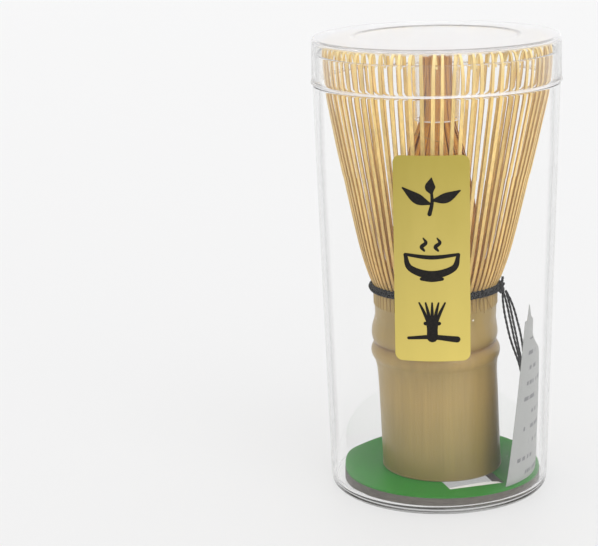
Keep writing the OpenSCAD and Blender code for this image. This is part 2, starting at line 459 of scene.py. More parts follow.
class Tree:
    """Short ways to add to a node tree."""

    def __init__(self, inside):
        self.inside = inside

    def plug(self, socket, value):
        """Links an input to a value, or sets it."""
        if isinstance(value, Value):
            self.inside.links.new(value.socket, socket)
        else:
            socket.default_value = rgba(value) if socket.type == "RGBA" else value

    def add(self, kind, **inputs):
        """Adds a node. A keyword sets an input if it starts with a capital, or else an attribute."""
        node = self.inside.nodes.new(kind)
        for key, value in inputs.items():
            if key[0].islower():
                setattr(node, key, value)
            else:
                self.plug(node.inputs[key.replace("_", " ")], value)
        return node

    def outs(self, kind, keys, **inputs):
        """Adds a node and gives some of its outputs."""
        node = self.add(kind, **inputs)
        return [Value(self, node.outputs[key]) for key in keys]

    def get(self, kind, out=0, **inputs):
        """Adds a node and gives one of its outputs."""
        return self.outs(kind, [out], **inputs)[0]

    def numbered(self, kind, values, out=0, **attributes):
        """Adds a node, sets its inputs by number and gives one output."""
        node = self.add(kind, **attributes)
        for number, value in values:
            self.plug(node.inputs[number], value)
        return Value(self, node.outputs[out])

    def maths(self, operation, *values):
        """One step of arithmetic."""
        return self.numbered("ShaderNodeMath", enumerate(values), operation=operation)

    def mixed(self, share, a, b, blend="MIX"):
        """Two colours mixed."""
        return self.numbered("ShaderNodeMix", ((0, share), (6, a), (7, b)), 2, data_type="RGBA",
                             blend_type=blend)

    def times(self, a, b):
        """Two colours multiplied."""
        return self.mixed(1.0, a, b, "MULTIPLY")

    def layered(self, share, under, over):
        """Two shaders mixed: share is how much of the second shows."""
        return self.numbered("ShaderNodeMixShader", ((0, share), (1, under), (2, over)))

    def ramp(self, share, *stops):
        """A colour ramp through (place, colour) stops, where a number is a grey."""
        node = self.add("ShaderNodeValToRGB", Fac=share)
        elements = node.color_ramp.elements
        while len(elements) < len(stops):
            elements.new(0.5)
        for element, (at, colour) in zip(elements, stops):
            element.position = at
            element.color = rgba(colour if hasattr(colour, "__len__") else (colour,) * 3)
        return Value(self, node.outputs[0])

    def span(self, value, start, stop, first=0.0, last=1.0, **attributes):
        """A value between start and stop, turned into one between first and last."""
        return self.get("ShaderNodeMapRange", **attributes, Value=value, From_Min=start,
                        From_Max=stop, To_Min=first, To_Max=last)

    def noise(self, where, scale, detail=2.0, roughness=0.5):
        """A noise value."""
        return self.get("ShaderNodeTexNoise", Vector=where, Scale=scale, Detail=detail,
                        Roughness=roughness)

    def stretched(self, where, *scale):
        """Coordinates scaled on each axis."""
        return self.get("ShaderNodeMapping", Vector=where, Scale=scale)

    def parts(self, vector):
        """A vector's x, y and z."""
        return self.outs("ShaderNodeSeparateXYZ", (0, 1, 2), Vector=vector)

    def bump(self, height, strength, distance):
        """A bumped normal. distance is in millimetres."""
        return self.get("ShaderNodeBump", Height=height, Strength=strength, Distance=distance * MM)

    def use(self, group, **inputs):
        """Places a shader group and gives its outputs, the colour first."""
        node = self.add("ShaderNodeGroup", node_tree=group, **inputs)
        return [Value(self, socket) for socket in node.outputs]


class Finish(Tree):
    """A new material's tree, with a Principled shader wired to its output."""

    def __init__(self, name, **principled):
        self.made = bpy.data.materials.new(name)
        self.made.use_nodes = True
        super().__init__(self.made.node_tree)
        self.inside.nodes.clear()
        self.shader = self.add("ShaderNodeBsdfPrincipled", **principled)
        self.glossy = Value(self, self.shader.outputs[0])
        self.end = self.add("ShaderNodeOutputMaterial", Surface=self.glossy)
        self.where = self.get("ShaderNodeTexCoord", "Object")

    def feed(self, **inputs):
        """Links values to the shader's inputs, and gives the finished material."""
        for key, value in inputs.items():
            self.plug(self.shader.inputs[key.replace("_", " ")], value)
        return self.made


def add_inputs(tree, sockets):
    """Gives a tree its named inputs, each as (name, kind, default)."""
    for key, kind, value in sockets:
        socket = tree.interface.new_socket(key, in_out="INPUT", socket_type=kind)
        if value is not None:
            socket.default_value = value
    start = tree.nodes.new("NodeGroupInput")
    t = Tree(tree)
    return t, [Value(t, start.outputs[key]) for key, kind, value in sockets]


def shader_group(name, sockets, build):
    """A shader group made once. build(tree, *inputs) returns its colour, and its height if any."""
    group = bpy.data.node_groups.get(name)
    if group:
        return group
    group = bpy.data.node_groups.new(name, "ShaderNodeTree")
    t, inputs = add_inputs(group, sockets)
    made = dict(zip(("Color", "Height"), build(t, *inputs)))
    for key, kind in (("Color", COLOUR), ("Height", FLOAT)):
        if key in made:
            group.interface.new_socket(key, in_out="OUTPUT", socket_type=kind)
    t.add("NodeGroupOutput", **made)
    return group


def fibre_group():
    """Bamboo's long fibres: fine dark and pale streaks along Z."""
    def build(t, where, fineness, flecks, light, dark):
        fine = t.noise(t.stretched(where, 1, 1, 0.02), fineness, 3, 0.6)
        broad = t.noise(t.stretched(where, 1, 1, 0.035), fineness * 0.22, 2, 0.55)
        spots = t.noise(t.stretched(where, 1, 1, 0.16), fineness * 0.6, 4, 0.7)
        streak = fine * 0.6 + broad * 0.4
        tone = t.mixed(t.span(streak, 0.38, 0.64), dark, light)
        fleck = t.span(spots, 0.62, 0.72) * flecks
        return t.mixed(fleck, tone, t.times(tone, (0.42, 0.36, 0.30))), streak
    return shader_group("Bamboo fibre", (
        ("Vector", VECTOR, None), ("Fineness", FLOAT, 2500.0), ("Flecks", FLOAT, 0.3),
        ("Light", COLOUR, (1, 1, 1, 1)), ("Dark", COLOUR, (0.6, 0.6, 0.6, 1))), build)


def dust_group():
    """Sparse pale specks of dust and cut fibre."""
    def build(t, where, scale, rarity, colour):
        away, shade = t.outs("ShaderNodeTexVoronoi", ("Distance", "Color"), Vector=where,
                             Scale=scale, Randomness=1.0)
        speck = t.span(away, 0.10, 0.05) * (t.get("ShaderNodeSeparateColor", Color=shade) > rarity)
        return (t.mixed(speck, colour, (0.86, 0.83, 0.76)),)
    return shader_group("Dust specks", (
        ("Vector", VECTOR, None), ("Scale", FLOAT, 450.0), ("Rarity", FLOAT, 0.93),
        ("Color", COLOUR, (1, 1, 1, 1))), build)


def pulp_group():
    """Paper and board: matted fibre, mottled in tone."""
    def build(t, where, scale, mottle, colour):
        cloudy = t.noise(where, scale * 0.12, 3, 0.6)
        grain = t.noise(where, scale, 3, 0.7)
        hair = t.noise(t.stretched(where, 1, 0.22, 1), scale, 1, 0.5)
        spread = t.span(cloudy * 0.45 + grain * 0.55, 0.3, 0.7)
        dim = t.times(colour, (0.62, 0.62, 0.62))
        return t.mixed(mottle, colour, t.mixed(spread, dim, colour)), grain + hair
    return shader_group("Paper pulp", (
        ("Vector", VECTOR, None), ("Scale", FLOAT, 3000.0), ("Mottle", FLOAT, 0.5),
        ("Color", COLOUR, (1, 1, 1, 1))), build)


def material(name, make, *args, **more):
    """A material made once and then shared."""
    return bpy.data.materials.get(name) or make(*args, **more)


def clear_material():
    """Clear plastic that lets the studio's light straight through to what is inside. Light caught
    between its faces is let out after a few turns, and edges seen along the wall are faint. The
    lid's top is scuffed, so that it is milky where it is seen at a low angle."""
    tint = settings("whisk_case").clear
    t = Finish("Clear case", Base_Color=tint, IOR=1.36, Transmission_Weight=1.0)
    height = t.parts(t.where)[2]
    on_top = t.span(height, (LID_TOP - 1.3) * MM, (LID_TOP - 0.9) * MM)
    t.feed(Roughness=on_top * 0.14 + 0.012)
    slant = t.get("ShaderNodeLayerWeight", "Facing", Blend=0.5)
    depth, shadow, diffuse = t.outs(
        "ShaderNodeLightPath", ("Ray Depth", "Is Shadow Ray", "Is Diffuse Ray"))
    soft = t.maths("MAXIMUM", t.maths("MAXIMUM", shadow, diffuse), depth > 7.0)
    on_lip = t.span(height, (LID_LOW - 0.05) * MM, LID_LOW * MM) * t.span(
        height, (LID_LOW + 0.36) * MM, (LID_LOW + 0.2) * MM)
    faint = t.ramp(slant, (0.7, 0.0), (1.0, 0.65)) * (1.0 - on_top)
    veil = t.maths("MAXIMUM", on_top * t.ramp(slant, (0.5, 0.06), (0.9, 0.5)), on_lip * 0.35)
    milky = t.get("ShaderNodeBsdfDiffuse", Color=(0.84, 0.84, 0.86))
    through = t.get("ShaderNodeBsdfTransparent", Color=[0.985 * c for c in tint])
    t.plug(t.end.inputs["Surface"], t.layered(
        t.maths("MAXIMUM", soft, faint), t.layered(veil, t.glossy, milky), through))
    return t.made


def film_material():
    """Thin clear film: faint from the front, pale at its sides and along its lower edge."""
    t = Finish("Clear film", Base_Color=(0.93, 0.9, 0.85), Roughness=0.2)
    slant = t.get("ShaderNodeLayerWeight", "Facing", Blend=0.5)
    rim = t.span(t.parts(t.where)[2], (SLEEVE_LOW + 1.2) * MM, (SLEEVE_LOW + 1.3) * MM, 0.5, 0.0)
    side = t.ramp(slant, (0.0, 0.035), (0.45, 0.06), (0.8, 0.3), (1.0, 0.45))
    return t.feed(Alpha=t.maths("MAXIMUM", side, rim))


def foil_material():
    """Satin gold foil, a little warmer and brighter towards its foot as a painted reflection of the
    pale floor, and darker towards its top as painted shade.
    """
    t = Finish("Gold foil", Metallic=0.55, Roughness=0.34, Coat_Weight=0.12, Coat_Roughness=0.25)
    rise = t.span(t.parts(t.where)[2], LABEL_LOW * MM, LABEL_HIGH * MM)
    wave = t.noise(t.stretched(t.where, 1, 1, 0.25), 160, 2, 0.5)
    gold = Vector(settings("whisk_case").gold)
    # Painted shade: the foil's colour darker and more olive towards its top.
    top = (gold.x * 0.72, gold.y * 0.72, gold.z * 0.55)
    # The ramp up the label is painted light: brighter towards its foot as a painted reflection of
    # the pale floor, darker towards its top as painted shade. The wave is the foil's own uneven
    # tone.
    return t.feed(
        Base_Color=t.ramp(rise + (wave - 0.5) * 0.35, (0.0, gold * 1.12), (0.5, gold * 0.92),
                          (1.0, top)),
        Normal=t.bump(t.noise(t.where, 420, 2), 0.12, 0.05),
        Roughness=t.ramp(t.noise(t.where, 900, 3), (0.3, 0.30), (0.7, 0.40)))


def ink_material():
    """Matte black ink, thin at its edges."""
    t = Finish("Ink", Roughness=0.6, Specular_IOR_Level=0.2)
    ink = Vector(settings("whisk_case").ink)
    return t.feed(Base_Color=t.ramp(t.noise(t.where, 2600, 3), (0.35, ink), (0.75, ink * 2.6)))


def green_material():
    """Smooth green card with a low gloss."""
    t = Finish("Green card", Roughness=0.5, Specular_IOR_Level=0.22)
    colour, relief = t.use(pulp_group(), Vector=t.where, Scale=2600.0, Mottle=0.28,
                           Color=settings("whisk_case").green)
    dusty = t.use(dust_group(), Vector=t.where, Scale=520.0, Rarity=0.965, Color=colour)[0]
    return t.feed(Base_Color=dusty, Normal=t.bump(relief, 0.15, 0.03))


def board_material():
    """Grey-brown board, its cut edge in thin layers."""
    t = Finish("Board", Roughness=0.85)
    board = Vector(settings("whisk_case").board)
    layers = t.noise(t.stretched(t.where, 0.12, 0.12, 1), 5200, 2)
    ply = t.ramp(layers, (0.35, board * 0.72), (0.65, board * 1.25))
    colour, relief = t.use(pulp_group(), Vector=t.where, Scale=3800.0, Mottle=0.6, Color=ply)
    return t.feed(Base_Color=colour, Normal=t.bump(relief, 0.5, 0.08))


def paper_material():
    """Printing paper with plain grey bars where print would be."""
    t = Finish("Leaflet paper", Roughness=0.6)
    colour, relief = t.use(pulp_group(), Vector=t.where, Scale=2600.0, Mottle=0.3,
                           Color=settings("whisk_case").paper)
    u, v, flat = t.parts(t.get("ShaderNodeUVMap", uv_map="UVMap"))
    rows = v * 11.0
    in_row = t.maths("FRACT", rows)
    in_row = (in_row > 0.34) * (in_row < 0.60)
    words = t.get("ShaderNodeCombineXYZ", X=u * 26.0, Y=t.maths("FLOOR", rows) * 7.3)
    word = t.noise(words, 1.0, 0) > 0.46
    used = (v < 0.86) * (t.noise(words, 0.13, 0) > 0.42)
    bar = in_row * word * ((u > 0.115) * used)
    return t.feed(Base_Color=t.mixed(bar * 0.8, colour, (0.12, 0.12, 0.13)),
                  Normal=t.bump(relief, 0.2, 0.03))


def lining_material():
    """White lining paper."""
    t = Finish("White lining", Roughness=0.8)
    return t.feed(Base_Color=t.use(pulp_group(), Vector=t.where, Scale=3000.0, Mottle=0.25,
                                   Color=(0.93, 0.92, 0.9))[0])


def culm_material():
    """The culm's satin skin: tan, with fine fibres, painted shade in the groove at the node with a
    paler scraped band below it that is partly a painted highlight, painted shade with a green cast
    towards the foot, and dust.
    """
    t = Finish("Culm skin", Roughness=0.38, Coat_Weight=0.25, Coat_Roughness=0.3)
    skin = Vector(settings("whisk_bamboo").skin)
    streaks, relief = t.use(fibre_group(), Vector=t.where, Fineness=1500.0, Flecks=0.12,
                            Light=skin * 1.06, Dark=skin * 0.9)
    cloudy = t.noise(t.stretched(t.where, 1, 1, 0.5), 90, 3, 0.6)
    aged = t.mixed(t.ramp(cloudy, (0.4, 0.0), (0.7, 0.5)), streaks,
                   t.times(streaks, (0.86, 0.92, 0.86)))
    wavy = t.parts(t.where)[2] + (t.noise(t.where, 220, 2) - 0.5) * 0.0009
    # Painted shade darkens the node's groove. The band on the ridge below it is lighter: partly the
    # scraped skin's paler tone and partly a painted highlight.
    node_scrape_shade_and_highlight = t.ramp(
        t.span(wavy, 32.2 * MM, 40.2 * MM),
        (0.0, 1), (0.16, (1.1, 1.08, 1.08)), (0.36, (1.0, 0.97, 0.95)),
        (0.5, (0.88, 0.81, 0.75)), (0.55, (0.60, 0.50, 0.44)), (0.59, (0.62, 0.52, 0.46)),
        (0.65, (0.92, 0.88, 0.84)), (0.85, 1))
    # Painted shade: the skin is darker towards the foot, with a green cast that is a painted
    # reflection of the green card below it.
    painted_foot_shade = t.ramp(t.span(wavy, STAND_Z * MM, 24 * MM), (0.0, (0.58, 0.64, 0.58)),
                     (0.35, (0.72, 0.78, 0.70)), (1.0, 1))
    dusty = t.use(dust_group(), Vector=t.where, Scale=330.0, Rarity=0.955,
                  Color=t.times(t.times(aged, node_scrape_shade_and_highlight), painted_foot_shade))[0]
    return t.feed(Base_Color=dusty, Normal=t.bump(relief, 0.22, 0.05),
                  Roughness=t.ramp(t.noise(t.where, 700, 3), (0.3, 0.33), (0.7, 0.46)))


def tine_material(name, body, foot, tip, fineness, roughness=0.5):
    """Split bamboo. Its tone follows the tine: skin at the foot, painted shade darkening its lower
    part, pale where it is shaved, the pale hooks partly a painted highlight, and painted shade along
    its sides.
    """
    t = Finish(name, Roughness=roughness)
    along, across, tone = [t.get("ShaderNodeAttribute", "Fac", attribute_name=key)
                           for key in ("along", "across", "tone")]
    streaks, relief = t.use(fibre_group(), Vector=t.where, Fineness=fineness, Flecks=0.35,
                            Light=Vector(body) * 1.12, Dark=Vector(body) * 0.78)
    # Painted shade: each tine is darker towards its lower part.
    shaded = t.times(streaks, t.ramp(along, (0.05, (0.78, 0.67, 0.50)), (0.45, 1)))
    footed = t.mixed(t.ramp(along, (0.0, 1.0), (0.06, 0.75), (0.12, 0.0)), shaded, foot)
    # The shaved tips' own paler tone, and partly a painted highlight where the hooks catch the
    # light.
    tipped = t.mixed(t.ramp(along, (0.85, 0.0), (0.92, 0.5), (0.97, 0.95)), footed, tip)
    varied = t.times(tipped, t.ramp(tone, (0.0, (0.80, 0.76, 0.70)), (0.5, 1),
                                    (1.0, (1.12, 1.12, 1.14))))
    # Painted shade: each tine is darker and browner towards its sides, where the tines shade one
    # another, most of all below the hooks.
    painted_side_shade = t.ramp(t.maths("ABSOLUTE", across), (0.27, 1), (0.5, (0.55, 0.4, 0.24)))
    side_shaded = t.mixed(t.ramp(along, (0.86, 0.9), (0.95, 0.3)), varied, t.times(varied, painted_side_shade))
    return t.feed(Base_Color=side_shaded, Normal=t.bump(relief, 0.35, 0.04))


def thread_material():
    """Black twisted cotton, dusty grey on its raised fibres."""
    t = Finish("Thread", Roughness=0.85, Sheen_Weight=0.12, Sheen_Roughness=0.5,
               Specular_IOR_Level=0.2)
    fuzz = t.noise(t.where, 9000, 3, 0.7)
    dark = Vector(settings("whisk_thread").colour)
    return t.feed(Base_Color=t.ramp(fuzz, (0.35, dark), (0.75, dark * 2.8)),
                  Normal=t.bump(fuzz, 0.7, 0.06))


def tine_tree():
    """A ring of tines: each follows a profile curve, tapers, and strays a little."""
    name = "Tine ring"
    if name in bpy.data.node_groups:
        return bpy.data.node_groups[name]
    tree = bpy.data.node_groups.new(name, "GeometryNodeTree")
    tree.interface.new_socket("Geometry", in_out="OUTPUT", socket_type="NodeSocketGeometry")
    t, (profile, count, segments, phase, foot_w, body_w, tip_w, foot_t, tip_t, gather, turn_stray,
        tip_stray, curl_stray, seed, finish) = add_inputs(tree, (
            ("Profile", "NodeSocketObject", None), ("Count", WHOLE, 60), ("Segments", WHOLE, 40),
            ("Phase", FLOAT, 0.0), ("Foot width", FLOAT, 0.0015), ("Body width", FLOAT, 0.0012),
            ("Tip width", FLOAT, 0.0008), ("Foot thickness", FLOAT, 0.0006),
            ("Tip thickness", FLOAT, 0.0003), ("Gather", FLOAT, 0.0), ("Turn stray", FLOAT, 0.0),
            ("Tip stray", FLOAT, 0.0), ("Curl stray", FLOAT, 0.0), ("Seed", WHOLE, 0),
            ("Material", "NodeSocketMaterial", None)))

    def stored(geometry, key, value, domain="POINT", kind="FLOAT"):
        return t.get("GeometryNodeStoreNamedAttribute", data_type=kind, domain=domain,
                     Geometry=geometry, Name=key, Value=value)

    def named(key, kind="FLOAT"):
        return t.get("GeometryNodeInputNamedAttribute", data_type=kind, Name=key)

    def stray(extra):
        return t.get("FunctionNodeRandomValue", 1, data_type="FLOAT", Min=-1.0, Max=1.0,
                     ID=number, Seed=seed + extra)

    shape = t.get("GeometryNodeMeshCube", Size=(1, 1, 1), Vertices_X=2, Vertices_Y=4,
                  Vertices_Z=segments)
    x, y, z = t.parts(t.get("GeometryNodeInputPosition"))
    for key, value in (("out", x), ("across", y), ("along", z + 0.5)):
        shape = stored(shape, key, value)
    ring = t.get("GeometryNodeInstanceOnPoints", Instance=shape,
                 Points=t.get("GeometryNodeMeshLine", Count=count))
    ring = stored(ring, "number", t.get("GeometryNodeInputIndex"), "INSTANCE", "INT")
    loose = t.get("GeometryNodeRealizeInstances", Geometry=ring)

    number, along, across, out = named("number", "INT"), named("along"), named("across"), named(
        "out")
    curve = t.get("GeometryNodeObjectInfo", "Geometry", Object=profile)
    spot, tangent = t.outs("GeometryNodeSampleCurve", ("Position", "Tangent"), mode="FACTOR",
                           Curves=curve, Factor=along)
    line_r, line_y, line_z = t.parts(spot)
    ahead_r, ahead_y, ahead_z = t.parts(tangent)

    squared = along * along
    curl = t.maths("POWER", t.maths("MAXIMUM", (along - 0.84) / 0.16, 0.0), 1.5)
    width = t.span(along, 0.0, 0.11, foot_w, body_w, interpolation_type="SMOOTHSTEP")
    width = t.span(along, 0.6, 0.95, width, tip_w)
    width = width * (stray(11) * squared * 0.18 + 1.0) * (1.0 - curl * 0.55)
    edge = t.maths("ABSOLUTE", across) > 0.4
    depth = (foot_t * (1.0 - along) + tip_t * along) * (1.0 - edge * 0.4)
    side_share = t.maths("SIGN", across) * (edge * 0.12 + 0.38)

    wander = gather * squared * (stray(23) * 0.5 - 0.5) + tip_stray * squared * stray(37)
    radial = line_r + out * depth * ahead_z + wander
    height = line_z - out * depth * ahead_r + stray(41) * squared * (tip_stray * 0.8)
    sideways = side_share * width + curl_stray * curl * stray(53)
    turn = (number + phase) * t.maths("DIVIDE", TAU, count) + turn_stray * squared * stray(67)
    cos_a, sin_a = t.maths("COSINE", turn), t.maths("SINE", turn)
    where = t.get("ShaderNodeCombineXYZ", X=radial * cos_a - sideways * sin_a,
                  Y=radial * sin_a + sideways * cos_a, Z=height)
    bent = t.get("GeometryNodeSetPosition", Geometry=loose, Position=where)
    toned = stored(bent, "tone", stray(79) * 0.5 + 0.5)
    whole = t.get("GeometryNodeRealizeInstances", Geometry=toned)
    t.add("NodeGroupOutput", Geometry=t.get(
        "GeometryNodeSetMaterial", Geometry=whole, Material=finish))
    return tree


def tine_ring(name, profile, **inputs):
    """Runs the tine tree along a profile, given as (radius, height) points in millimetres, and
    returns its result as a plain mesh object."""
    data = bpy.data.curves.new(name + "_profile", "CURVE")
    data.dimensions = "3D"
    line = smooth_line([(r, 0, z) for r, z in profile], 10)
    spline = data.splines.new("POLY")
    spline.points.add(len(line) - 1)
    for p, v in zip(spline.points, line):
        p.co = (*(v * MM), 1)
    curve = linked(name + "_profile", data)
    host = linked(name + "_host", bpy.data.meshes.new(name + "_host"))
    modifier = host.modifiers.new("Nodes", "NODES")
    modifier.node_group = tine_tree()
    known = {s.name: s.identifier for s in modifier.node_group.interface.items_tree
             if s.in_out == "INPUT"}
    for key, value in {"Profile": curve, **inputs}.items():
        modifier[known[key.replace("_", " ")]] = value
    bpy.context.view_layer.update()
    graph = bpy.context.evaluated_depsgraph_get()
    mesh = bpy.data.meshes.new_from_object(host.evaluated_get(graph), depsgraph=graph)
    mesh.name = name
    bpy.data.objects.remove(host)
    bpy.data.objects.remove(curve)
    return linked(name, mesh)


# Pieces, one operator for each or for each group of like pieces

class TEAWHISK_OT_stage(bpy.types.Operator):
    """Make the floor, the soft studio lights and the camera"""
    bl_idname = "teawhisk.stage"
    bl_label = "Stage"

    def execute(self, context):
        s = settings("whisk_stage")
        self.camera(context)
        self.floor(s)
        self.light("Key light", s.key, facing(26, 0.77, 0.64), 60)
        self.light("Fill light", s.fill, facing(-70, 0.7, 0.7), 70)
        self.world(context, s)
        context.scene.view_settings.view_transform = "Standard"
        return {"FINISHED"}

    def camera(self, context):
        """A long lens a little above the object, turned so that the object stands to one side."""
        away, height, turn = 0.4453, 0.1656, 2.6
        heading, pitch, roll = math.radians(-7.02), math.radians(14.06), math.radians(-1.5)
        ahead = Vector((math.sin(heading), math.cos(heading), 0))
        right = Vector((math.cos(heading), -math.sin(heading), 0))
        look = ahead * math.cos(pitch) - UP * math.sin(pitch)
        top = UP * math.cos(pitch) + ahead * math.sin(pitch)
        right_rolled = right * math.cos(roll) + top * math.sin(roll)
        top_rolled = top * math.cos(roll) - right * math.sin(roll)
        data = bpy.data.cameras.new("Camera")
        data.lens = 111.2
        data.sensor_width = 36
        data.clip_start, data.clip_end = 0.01, 50
        spin = Matrix((right_rolled, top_rolled, -look)).transposed().to_4x4()
        context.scene.camera = linked("Camera", data)
        context.scene.camera.matrix_world = Matrix.Translation(facing(turn, away, height)) @ spin

    def floor(self, s):
        """A wide pale sweep that the object stands on."""
        t = Finish("Floor", Base_Color=s.floor, Roughness=0.55, Specular_IOR_Level=0.25,
                   Emission_Color=(1, 1, 1), Emission_Strength=s.glow)
        half = 4000
        corners = [(-half, -half, 0), (half, -half, 0), (half, half, 0), (-half, half, 0)]
        new_piece("Floor", corners, [(0, 1, 2, 3)], t.made, outward=False)

    def light(self, name, strength, at, spread):
        """A far light as wide as a studio panel, spread in degrees."""
        data = bpy.data.lights.new(name, "SUN")
        data.energy = strength
        data.angle = math.radians(spread)
        lamp = linked(name, data)
        lamp.location = at
        lamp.rotation_euler = at.to_track_quat("Z", "Y").to_euler()

    def world(self, context, s):
        """A white tent, a little greyer low down so that clear edges read."""
        world = bpy.data.worlds.new("Studio")
        world.use_nodes = True
        world.node_tree.nodes.clear()
        t = Tree(world.node_tree)
        across, forward, rise = t.parts(t.get("ShaderNodeTexCoord", "Generated"))
        tone = t.ramp(rise, (0.0, 0.98), (0.06, 1.06), (0.3, 1.02), (1.0, 1.02))
        sky = t.get("ShaderNodeBackground", Color=tone, Strength=(across * 0.14 + 1.0) * s.world)
        t.add("ShaderNodeOutputWorld", Surface=sky)
        context.scene.world = world


class TEAWHISK_OT_tails(bpy.types.Operator):
    """Make the four loose tails of the lacing thread"""
    bl_idname = "teawhisk.tails"
    bl_label = "Thread tails"

    def execute(self, context):
        finish = material("Thread", thread_material)
        for n, (y, xs) in enumerate(TAILS, 1):
            route = [(x, y if k < 5 else y + 0.1, TAIL_TOP - TAIL_STEP * k)
                     for k, x in enumerate(xs)]
            line = [p + Vector((lerp(-0.6, 0.95, (TAIL_TOP - p.z) / (TAIL_TOP - TAIL_LOW)), 0, 0))
                    for p in smooth_line(route, 12)]
            tail = swept(f"loose_tail_{n}", line, finish, two_ply(TAIL_D / 2, 0.22, 16, 10))
            place(tail, "whisk", "thread", f"thread_tail_{n}")
            length = sum((b - a).length for a, b in zip(line, line[1:]))
            line[0] * MM
            [p * MM for p in line]
        return {"FINISHED"}


class TEAWHISK_OT_case(bpy.types.Operator):
    """Make the clear tube and the clear lid"""
    bl_idname = "teawhisk.case"
    bl_label = "Tube and lid"

    def execute(self, context):
        finish = material("Clear case", clear_material)
        for name, outline, body, node in (("clear_tube", self.tube(), "case", "case_tube"),
                                          ("clear_lid", self.lid(), "lid", "lid")):
            place(lathe(name, outline, finish, 256, sharp=50), body, "clear_case", node)
        return {"FINISHED"}

    def tube(self):
        """The tube: a thick rounded foot, a drafted wall and a stepped-in neck."""
        wall, neck_r, mouth_r, foot_r, floor_z = 1.1, 29.1, 28.35, 26.7, CARD_Z
        return [
            (0, 0.45), (22.3, 0.42), *corner(22.9, 0.45, 0.45, 180, 270, 4), (foot_r - 1.1, 0.0),
            *corner(foot_r - 1.0, 1.35, 1.35, -80, -12, 7),
            (TUBE_R_LOW - 0.1, 2.2), (TUBE_R_LOW, FOOT_ROUND_Z),
            *[(tube_r(z), z) for z in (10, 25, 40, 55, 70, 85, SHOULDER_Z - 1.2)],
            *corner(TUBE_R - 0.42, SHOULDER_Z - 0.4, 0.4, 0, 90, 5),
            (neck_r + 0.12, SHOULDER_Z), (neck_r, SHOULDER_Z + 0.15), (neck_r, TUBE_TOP - 0.4),
            *corner(neck_r - 0.3, TUBE_TOP - 0.3, 0.3, 0, 90, 4),
            *corner(mouth_r + 0.3, TUBE_TOP - 0.3, 0.3, 90, 180, 4),
            (mouth_r, SHOULDER_Z + 0.6), (mouth_r + 0.02, SHOULDER_Z - 0.8),
            (mouth_r + 0.03, 97.5), (mouth_r + 0.02, 94), (mouth_r - 0.02, 90),
            *[(tube_r(z) - wall, z) for z in (82, 70, 55, 40, 25, 10)],
            *corner(TUBE_R_LOW - wall - 1.3, floor_z + 1.3, 1.3, 0, -90, 7),
            (12, floor_z), (0, floor_z)]

    def lid(self):
        """The lid: a skirt with a small lip, a rounded shoulder and a shallow recess on top."""
        skirt_r, wall, roof_t, round_r = LIP_R - 0.25, 0.75, 0.7, 0.8
        inner_r, recess_r, recess_d = skirt_r - wall, 19.6, 0.4
        top_z = LID_TOP + 0.3
        roof_z = top_z - roof_t
        return [
            *corner(LIP_R - 0.22, LID_LOW + 0.22, 0.22, -90, 60, 5),
            (skirt_r + 0.02, LID_LOW + 0.95), (skirt_r, LID_LOW + 1.4),
            *corner(skirt_r - 0.15 - round_r, top_z - round_r, round_r, 0, 90, 9),
            (recess_r + 1.1, top_z), (recess_r + 0.75, top_z - 0.04),
            (recess_r + 0.1, top_z - recess_d + 0.05), (recess_r - 0.3, top_z - recess_d),
            (10, top_z - recess_d), (0, top_z - recess_d),
            (0, roof_z - recess_d), (10, roof_z - recess_d),
            (recess_r - 0.3, roof_z - recess_d), (recess_r + 0.7, roof_z),
            *corner(inner_r - 0.4, roof_z - 0.4, 0.4, 90, 0, 6),
            (inner_r + 0.02, LID_LOW + 0.3), (inner_r + 0.15, LID_LOW)]


def label_sheet(name, outline, finish, low_lift, high_lift, step=0.9):
    """A thin flat shape laid round the tube. Its outline is in (along, up) millimetres."""
    bm = flat_shape([(x, z, 0) for x, z in outline])
    for way, gap, reach in ((Vector((1, 0, 0)), step, [p[0] for p in outline]),
                            (Vector((0, 1, 0)), 6 * step, [p[1] for p in outline])):
        for k in range(1, int((max(reach) - min(reach)) / gap) + 1):
            cut(bm, way * (min(reach) + k * gap), way)

    def laid(lift):
        return lambda p: facing(math.degrees(p.x / tube_r(p.y)), tube_r(p.y) + lift, p.y)
    return slab(name, bm, laid(high_lift), laid(low_lift), finish)


def brush(points, widths, steps=8):
    """The outline of a brush stroke through (along, up) points, with a width at each."""
    line = smooth_line([(x, y, 0) for x, y in points], steps)
    sizes = smooth_line([(w, 0, 0) for w in widths], steps)
    left, right = [], []
    for i, p in enumerate(line):
        ahead = (line[min(i + 1, len(line) - 1)] - line[max(i - 1, 0)]).normalized()
        side = Vector((-ahead.y, ahead.x, 0)) * sizes[i].x / 2
        left.append(p + side)
        right.append(p - side)
    outline = (left + round_cap(line[-1], right[-1])[::-1] + right[::-1]
               + round_cap(line[0], left[0])[::-1])
    return [(p.x, p.y) for p in outline]


def round_cap(middle, start, steps=5):
    """Points of a half circle round a middle, without its two ends."""
    return [middle + Matrix.Rotation(math.pi * k / (steps + 1), 3, "Z") @ (start - middle)
            for k in range(1, steps + 1)]


